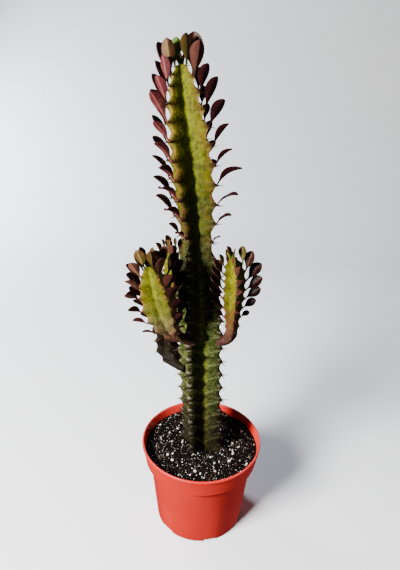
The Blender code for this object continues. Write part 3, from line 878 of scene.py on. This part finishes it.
def make_mix(peat_finish):
    """A round sheet shaped as the top of the mix, drawn down inside the pot."""
    mix, across, along = sheet_of("potting_mix_top", MIX_STEPS, MIX_STEPS)
    u, v = 2 * across - 1, 2 * along - 1
    radius = mix_edge(MIX_EDGE_HEIGHT)
    x, y = radius * u * np.sqrt(1 - v**2 / 2), radius * v * np.sqrt(1 - u**2 / 2)
    place_points(mix.data, [(a, b, mix_height(a, b)) for a, b in zip(x, y)])
    edit(mix)
    bpy.ops.mesh.region_to_loop()
    ledge = STEP_HEIGHT + 3 * MM
    levels = (  # heights and radii, inside the collar, below its ledge and at the floor
        (ledge, mix_edge(ledge)),
        (ledge - 0.6 * MM, WALL_TOP_RADIUS - WALL - 0.4 * MM),
        (FLOOR + 1.2 * MM, wall_radius(FLOOR) - WALL - 2.4 * MM),
    )
    last_height, last_radius = MIX_EDGE_HEIGHT, radius
    for height, radius in levels:
        bpy.ops.mesh.extrude_region_move(TRANSFORM_OT_translate={"value": (0, 0, height - last_height)})
        scale = radius / last_radius
        bpy.ops.transform.resize(value=(scale, scale, 1), center_override=(0, 0, 0))
        last_height, last_radius = height, radius
    bpy.ops.transform.resize(value=(1, 1, 0), center_override=(0, 0, last_height))
    bpy.ops.mesh.edge_face_add()
    close_up()
    bpy.ops.object.shade_smooth()
    dress(mix, "potting_mix", peat_finish)
    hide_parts("potting_mix")


def grain_shape(rounds, lumpiness, seed):
    """One irregular grain, about one unit across; rounds is how finely it is divided."""
    select_nothing()
    bpy.ops.mesh.primitive_ico_sphere_add(subdivisions=rounds, radius=0.5)
    grain = bpy.context.object
    points = points_of(grain.data)
    offset = Vector((seed * 3.1, seed * 1.7, 0))
    swell = np.array([1 + lumpiness * noise.noise(Vector(p) * 3 + offset) for p in points])
    place_points(grain.data, points * swell[:, None])
    return taken_apart(grain)


def strew(name, shapes, count, sizes, lift, spread, seed, material):
    """Grains strewn over the mix in drifts, clear of the stem. Sizes are the least and the most in
    millimetres, lift is how high a grain's middle stands, over its size, and a larger spread fills the gaps
    between drifts."""
    luck = np.random.default_rng(seed)
    places = []
    while len(places) < count:
        x, y = luck.uniform(-1, 1, 2) * 70 * MM
        if not GRAINS_FROM <= math.hypot(x, y) <= GRAINS_TO:
            continue
        drift = noise.noise(Vector((x, y, seed)) * per_mm(DRIFT_SIZE))
        if luck.uniform(-1, 1) > drift * DRIFT_STRENGTH + spread:
            continue
        size = (sizes[0] + (sizes[1] - sizes[0]) * luck.uniform() ** FEW_LARGE) * MM
        turn = Euler(luck.uniform(0, math.tau, 3)).to_matrix().to_4x4()
        stretch = Matrix.Diagonal((size, size * luck.uniform(0.65, 1), size * luck.uniform(0.55, 0.9), 1))
        height = mix_height(x, y) + size * lift
        places.append(Matrix.Translation((x, y, height)) @ turn @ stretch)
    grains = mesh_of_copies(name, shapes, places)
    smooth(grains, 50)
    dress(grains, "potting_mix", material)


# Stems, leaves and spines

MAIN_ROUND_STEPS, ARM_ROUND_STEPS = 96, 64
RING_SPACING = 1.0 * MM
BURIED = 8.0 * MM  # how far the main stem's skin goes down into the mix
STREAK_FALL = 0.9  # how far a streak slants down from a crest to the valley, in teeth
SCAR_RADIUS = 4.0 * MM  # the pale ring round a tooth's point
SKIN_LUMPS = 0.3 * MM
STREAK_RELIEF = 0.5 * MM


def make_skin(stem, finish):
    """A sheet rolled into the ribbed stem, joined along its seam and closed at both ends."""
    main = stem.name == "main_stem"
    start = -BURIED if main else 0.0
    rings = round((stem.length - start) / RING_SPACING)
    skin, u, v = sheet_of(f"{stem.name}_skin", MAIN_ROUND_STEPS if main else ARM_ROUND_STEPS, rings)
    turn, distance = u * RIBS, start + v * (stem.length - start)
    points, marks = stem.surface(turn, distance)
    down = 1 - marks["crest"]
    pitch = np.interp(distance, stem.teeth[:-1], np.diff(stem.teeth))
    marks["streak"] = stem.tooth(distance + down * STREAK_FALL * pitch)
    from_tooth = np.hypot((marks["tooth"] - 1) * pitch * 0.5, down * 3 * SCAR_RADIUS) / SCAR_RADIUS
    marks["scar"] = np.clip(1 - np.abs(from_tooth - 1.1), 0, 1)
    lumps = [noise.noise(Vector(p) * per_mm(9)) + 0.5 * noise.noise(Vector(p) * per_mm(3)) for p in points]
    relief = np.array(lumps) * SKIN_LUMPS + (marks["streak"] - 0.5) * STREAK_RELIEF * marks["foot"]
    outward = points - stem.frame_at(stem.placed(turn, distance))[0]
    outward /= np.maximum(np.linalg.norm(outward, axis=1, keepdims=True), 1e-6)
    place_points(skin.data, points + outward * relief[:, None])
    for name, values in marks.items():
        mark(skin.data, name, values)
    edit(skin)
    bpy.ops.mesh.remove_doubles(threshold=0.05 * MM)
    bpy.ops.mesh.select_all(action="DESELECT")
    bpy.ops.mesh.select_mode(type="EDGE")
    bpy.ops.mesh.select_non_manifold()
    bpy.ops.mesh.edge_face_add()
    close_up()
    smooth(skin, 55)
    dress(skin, "stem", finish)
    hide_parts(stem.name)


def leaf_half_width(t):
    """Half width over full width: a narrow stalk, widest past the middle, and a round end with a point."""
    places = (0, 0.12, 0.20, 0.30, 0.41, 0.52, 0.62, 0.70, 0.78, 0.86, 0.92, 0.96, 0.985, 1)
    widths = (0.15, 0.13, 0.20, 0.42, 0.69, 0.90, 0.99, 1.0, 0.94, 0.78, 0.57, 0.38, 0.20, 0.04)
    return 0.5 * np.interp(t, places, widths)


def make_leaf(name, root, outward, up, length, breadth, rise, curl, twist, youth, wine_and_shade, luck, finishes):
    """One leaf: a sheet shaped as a keeled blade that rises from its root, twists and curls, and is then
    thickened. Youth and the darkening towards a nearly black red, which is partly painted shade, are from 0
    to 1."""
    outward = Matrix.Rotation(luck.uniform(-0.12, 0.12), 3, up) @ outward
    along = outward * math.cos(rise) + up * math.sin(rise)
    face = up * math.cos(rise) - outward * math.sin(rise)
    leaf, u, t = sheet_of(name, *LEAF_GRID)
    u = 2 * u - 1
    aside = np.abs(u)
    bend = curl * t + LEAST_BEND
    reach = length * t * np.sin(bend) / bend
    drop = length * t * (1 - np.cos(bend)) / bend
    half = leaf_half_width(t) * breadth * luck.uniform(0.9, 1.1) * length
    twist = (twist + luck.uniform(-0.25, 0.25)) * np.clip(t / TWIST_STRETCH, 0, 1)
    wave = np.sin(t * 7 + luck.uniform(0, 6)) * 0.05 * half * aside
    lift = LEAF_FOLD * luck.uniform(0.7, 1.2) * aside**1.3 * half + wave
    sideways = u * half * np.cos(twist) - lift * np.sin(twist)
    lift = lift * np.cos(twist) + u * half * np.sin(twist)
    root, along, face, side = (np.array([row]) for row in (root, along, face, along.cross(face)))
    bend, reach, drop, sideways, lift = (row[:, None] for row in (bend, reach, drop, sideways, lift))
    blade_up = face * np.cos(bend) + along * np.sin(bend)
    place_points(leaf.data, root + along * reach - face * drop + side * sideways + blade_up * lift)
    mark(leaf.data, "across", aside)
    mark(leaf.data, "youth", np.clip(youth + 0.15 * (1 - t) * (youth > 0), 0, 1))
    # painted shade, with the darkening of older leaves, as a mark for the finish
    mark(leaf.data, "wine_and_shade", wine_and_shade * (1 - youth) * luck.uniform(0.85, 1.1))
    mark(leaf.data, "midrib", np.clip(1 - aside * np.interp(t, (0, 0.15, 1), (0.4, 2.2, 7)), 0, 1))
    mark(leaf.data, "vein", 0.5 + 0.5 * np.sin((t * VEINS - aside * VEIN_SLANT) * math.tau))
    shell = leaf.modifiers.new("thickness", "SOLIDIFY")
    shell.thickness = LEAF_THICKNESS
    shell.offset = -1
    shell.material_offset = shell.material_offset_rim = 1
    dress(leaf, "leaf", *finishes)
    apply_all(leaf)
    smooth(leaf, 60)
    return leaf


def leaves_of(stem, finishes):
    """A leaf at every tooth that bears one. Those that the construction holds stand for its solids."""
    luck = np.random.default_rng(SEED + len(stem.teeth))
    kind = stem.name if stem.name in LEAF_RISE else "arms"
    for rib, lengths in enumerate(LEAF_LENGTHS[stem.name]):
        youths = LEAF_YOUTH[kind][rib]
        for place, length in enumerate(lengths):
            node_name = f"leaf_{stem.name.replace('_stem', '')}_{RIB_NAMES[rib]}_{place + 1:02d}"
            tip, outward, up = stem.tooth_tip(rib, place)
            if node_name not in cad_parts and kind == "arms":
                outward = Matrix.Rotation(ARM_LEAF_SWING[stem.name][rib], 3, up) @ outward
            curl = math.radians(np.interp(place, *LEAF_CURL))
            rise = math.radians(np.interp(place, *LEAF_RISE[kind][rib])) + curl / 2
            youth = youths[place] if place < len(youths) else 0
            breadth = np.interp(place, *LEAF_BREADTH[kind])
            twist = np.interp(place, (1, 5), LEAF_TWIST[stem.name][rib])
            # painted shade on the ribs in shade, growing with each place down as older leaves darken
            wine_and_shade = LEAF_WINE_AND_SHADE[stem.name][rib] * min(WINE_BY_PLACE[0] + WINE_BY_PLACE[1] * place, 1)
            leaf = make_leaf(
                node_name.replace("leaf", "leaf_blade", 1), tip - outward * LEAF_SEAT, outward, up,
                length * MM, breadth, rise, curl, twist, youth, wine_and_shade, luck, finishes,
            )
            if node_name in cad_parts:
                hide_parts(node_name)


def buds_of(stem, finishes):
    """Small new leaves that stand round the growing tip, each longer and less new than the last."""
    luck = np.random.default_rng(SEED + 50 + len(stem.teeth))
    place, front, right, up = (Vector(row[0]) for row in stem.frame_at(np.array([stem.length])))
    for i in range(BUDS):
        turn = 0.4 + i * BUD_TURN
        outward = front * math.cos(turn) + right * math.sin(turn)
        root = place + outward * 1.2 * MM - up * 2 * MM
        rise = math.radians(luck.uniform(70, 84))
        length, youth = (6 + 2.2 * i) * MM, 1 - 0.12 * i
        name = f"bud_{stem.name}_{i + 1}"
        make_leaf(name, root, outward, up, length, BUD_BREADTH, rise, 0, 0, youth, 0, luck, finishes)


def thorn_shape():
    """A thin cone one unit long that bends a little; its root is at the origin."""
    select_nothing()
    bpy.ops.mesh.primitive_cone_add(vertices=6, radius1=0.115, radius2=0.012, depth=1, location=(0, 0, 0.5))
    thorn = bpy.context.object
    bpy.ops.object.transform_apply()
    edit(thorn)
    bpy.ops.mesh.bisect(plane_co=(0, 0, 0.5), plane_no=(0, 0, 1))
    bpy.ops.object.mode_set(mode="OBJECT")
    points = points_of(thorn.data)
    points[:, 0] += 0.06 * points[:, 2] ** 2
    place_points(thorn.data, points)
    return taken_apart(thorn)


def spines_of(stem, shape, finish):
    """A pair of spines at every tooth, spread to the two sides and pointing a little down."""
    luck = np.random.default_rng(SEED + 100 + len(stem.teeth))
    places = []
    longest = 8.0 if stem.name == "main_stem" else 4.0
    for rib in range(RIBS):
        for place in range(len(stem.teeth)):
            tip, outward, up = stem.tooth_tip(rib, place)
            height = stem.teeth[len(stem.teeth) - 1 - place] / stem.length
            share = np.interp(height, (0, 0.1, 0.85, 1), (0.8, 1, 0.9, 0.5))
            for hand in (-1, 1):
                aside = up.cross(outward) * hand
                length = longest * luck.uniform(0.7, 1.1) * share
                aim = outward + aside * luck.uniform(0.45, 0.8) - up * luck.uniform(-0.1, 0.45)
                turn = aim.to_track_quat("Z", "X").to_matrix().to_4x4()
                root = tip - outward * 1.0 * MM + aside * 0.7 * MM - up * 0.8 * MM
                places.append(Matrix.Translation(root) @ turn @ Matrix.Scale(length * MM, 4))
    spines = mesh_of_copies(f"spines_{stem.name}", [shape], places)
    mark(spines.data, "shaft", np.tile(shape[0][:, 2], len(places)))
    smooth(spines, 70)
    dress(spines, "stem", finish)


# Stage, light and camera

STAGE_SIZE = 5.0
STAGE_FORWARD = 0.7  # how far the middle of the floor lies in front of the plant
STAGE_BACK = 1.7  # the floor's back edge lies behind this line
STAGE_HEIGHT = 4.0
COVE = 0.9


def select_edges(piece, wanted):
    """Selects the edges whose two ends are both where wanted says."""
    bpy.ops.mesh.select_mode(type="EDGE")
    bpy.ops.mesh.select_all(action="DESELECT")
    shape = bmesh.from_edit_mesh(piece.data)
    for edge in shape.edges:
        edge.select_set(all(wanted(corner.co) for corner in edge.verts))
    bmesh.update_edit_mesh(piece.data)


def make_stage(paper):
    """A pale floor that rises behind the plant in one broad curve. No light bounces from it to the plant."""
    select_nothing()
    bpy.ops.mesh.primitive_grid_add(
        x_subdivisions=2, y_subdivisions=2, size=STAGE_SIZE, location=(0, -STAGE_FORWARD, 0)
    )
    floor = bpy.context.object
    floor.name = floor.data.name = "studio_floor"
    bpy.ops.object.transform_apply()
    edit(floor)
    select_edges(floor, lambda corner: corner.y > STAGE_BACK)
    bpy.ops.mesh.extrude_region_move(TRANSFORM_OT_translate={"value": (0, 0, STAGE_HEIGHT)})
    select_edges(floor, lambda corner: corner.y > STAGE_BACK and corner.z < STAGE_HEIGHT / 2)
    bpy.ops.mesh.bevel(offset=COVE, segments=16, affect="EDGES")
    bpy.ops.object.mode_set(mode="OBJECT")
    bpy.ops.object.shade_smooth()
    floor.data.materials.append(paper)
    floor.visible_diffuse = False
    floor.visible_glossy = False
    floor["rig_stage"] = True


# Square soft boxes: azimuth (0 in front and 90 at the right), elevation, distance from what each is aimed at,
# size, watts, colour, what it lights, and whether it shows in a sheen
LIGHTS = {
    "key_on_the_stems": (-54, 2, 2.2, 0.3, 130, "FFF8EA", "stems", True),
    "key_on_the_leaves": (-57, 14, 2.2, 0.4, 150, "FFFAF2", "leaves", True),
    "key_on_the_pot": (-49, 33, 2.2, 0.5, 168, "FFFAF2", "pot", True),
    "key_on_the_floor": (-46, 33, 1.5, 0.6, 128, "FFFDFC", "ground", True),
    "wash_on_the_floor": (-115, 37, 1.0, 0.5, 42, "EAF0FF", "ground", True),
    "fill_on_the_pot": (74, 18, 2.4, 1.8, 38, "ECE8FF", "pot", True),
    "fill_on_the_stems": (112, 18, 2.4, 1.2, 8, "F4F6FF", "stems", True),
    "fill_on_the_leaves": (112, 18, 2.4, 1.2, 12, "F4F6FF", "leaves", False),
    "light_on_the_back": (-172, 24, 2.6, 1.4, 170, "F4F6FF", "plant", False),
    "light_on_the_right": (148, 26, 2.6, 1.4, 150, "F4F6FF", "plant", False),
    "light_behind_the_pot": (-176, 28, 2.6, 1.4, 70, "F4F6FF", "pot", True),
}
MIDDLE = (0, 0, 0.3)
AIMED_ELSEWHERE = {"wash_on_the_floor": (-0.5, 0.8, 0.1)}
STEM_KEY = "key_on_the_stems"  # only the pieces of the shading group throw a shadow in this one


def light_groups():
    """What each light falls on, as collections. The shading group is all but the leaves of the main stem and
    of the arms' front-left ribs, whose shadows would break up the lit faces of the stems."""
    kinds = ("ground", "pot", "stems", "leaves", "plant", "shading")
    groups = {kind: bpy.data.collections.new(f"lit_{kind}") for kind in kinds}
    groups["ground"].objects.link(bpy.data.objects["studio_floor"])
    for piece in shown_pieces():
        slot = piece.get("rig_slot")
        groups[{"stem": "stems", "leaf": "leaves"}.get(slot, "pot")].objects.link(piece)
        if slot in ("stem", "leaf"):
            groups["plant"].objects.link(piece)
        if slot != "leaf" or "_arm_" in piece.name and "_front_left_0" not in piece.name:
            groups["shading"].objects.link(piece)
    return groups


def make_lights():
    """A key from the front left in four parts, for the stems, the leaves, the pot and the paper, so that the
    paper shows nearly white; a wash that lightens the shadow on the floor; dim fills on the shaded side; and
    soft lights from behind."""
    groups = light_groups()
    for name, (azimuth, elevation, distance, size, watts, tint, lit, sheen) in LIGHTS.items():
        side, height = math.radians(azimuth), math.radians(elevation)
        flat = math.cos(height)
        towards = Vector((math.sin(side) * flat, -math.cos(side) * flat, math.sin(height)))
        light = bpy.data.lights.new(name, "AREA")
        light.shape = "SQUARE"
        light.size = size
        light.energy = watts
        light.color = linear(tint)[:3]
        lamp = in_scene(name, light)
        lamp.location = Vector(AIMED_ELSEWHERE.get(name, MIDDLE)) + towards * distance
        lamp.rotation_euler = towards.to_track_quat("Z", "Y").to_euler()
        lamp.visible_glossy = sheen
        lamp.light_linking.receiver_collection = groups[lit]
        if name == STEM_KEY:
            lamp.light_linking.blocker_collection = groups["shading"]


def make_air():
    """Faint light from all round, and a pale studio beyond the floor."""
    air = bpy.data.worlds.new("studio_air")
    bpy.context.scene.world = air
    air.use_nodes = True
    tree = air.node_tree
    seen = node(tree, "LightPath", output="Is Camera Ray")
    glow = node(tree, "MapRange", {"Value": seen, "To Min": 0.07, "To Max": 1.25})
    sky = tree.nodes["Background"].inputs
    sky["Color"].default_value = linear("E9EEF5")
    tree.links.new(glow, sky["Strength"])


def make_camera():
    """A camera that looks down on the plant from the front, rolled a little."""
    lens = bpy.data.cameras.new("viewer")
    lens.lens = 31.58
    lens.sensor_width = 36
    viewer = in_scene("viewer", lens)
    viewer.location = (-0.0074, -0.5065, 0.5693)
    tilt = Matrix.Rotation(math.radians(65.46), 4, "X") @ Matrix.Rotation(math.radians(1.65), 4, "Z")
    viewer.rotation_euler = tilt.to_euler()
    bpy.context.scene.camera = viewer


def make_stems_and_leaves():
    leaf_faces = [leaf_finish(*plan) for plan in LEAF_FACES]
    horn = spine_horn()
    thorn = thorn_shape()
    for name, plan in STEMS.items():
        stem = Stem(name, plan)
        make_skin(stem, living_skin(*SKINS[name]))
        leaves_of(stem, leaf_faces)
        buds_of(stem, leaf_faces)
        spines_of(stem, thorn, horn)


make_pot(moulded_polypropylene())
make_mix(damp_peat())
perlite = [grain_shape(2, 0.55, i) for i in range(3)]
crumbs = [grain_shape(1, 0.45, i + 7) for i in range(3)]
chalk, bark = expanded_perlite(), composted_bark()
strew("perlite_grains", perlite, 210, (1.1, 4.2), 0.06, 0.1, SEED, chalk)
strew("perlite_dust", crumbs, 850, (0.6, 1.3), 0.12, 0.2, SEED + 2, chalk)
strew("bark_crumbs", crumbs, 620, (1.8, 6.0), 0.02, 0.6, SEED + 1, bark)
make_stems_and_leaves()
make_stage(studio_paper())
make_lights()
make_air()
make_camera()
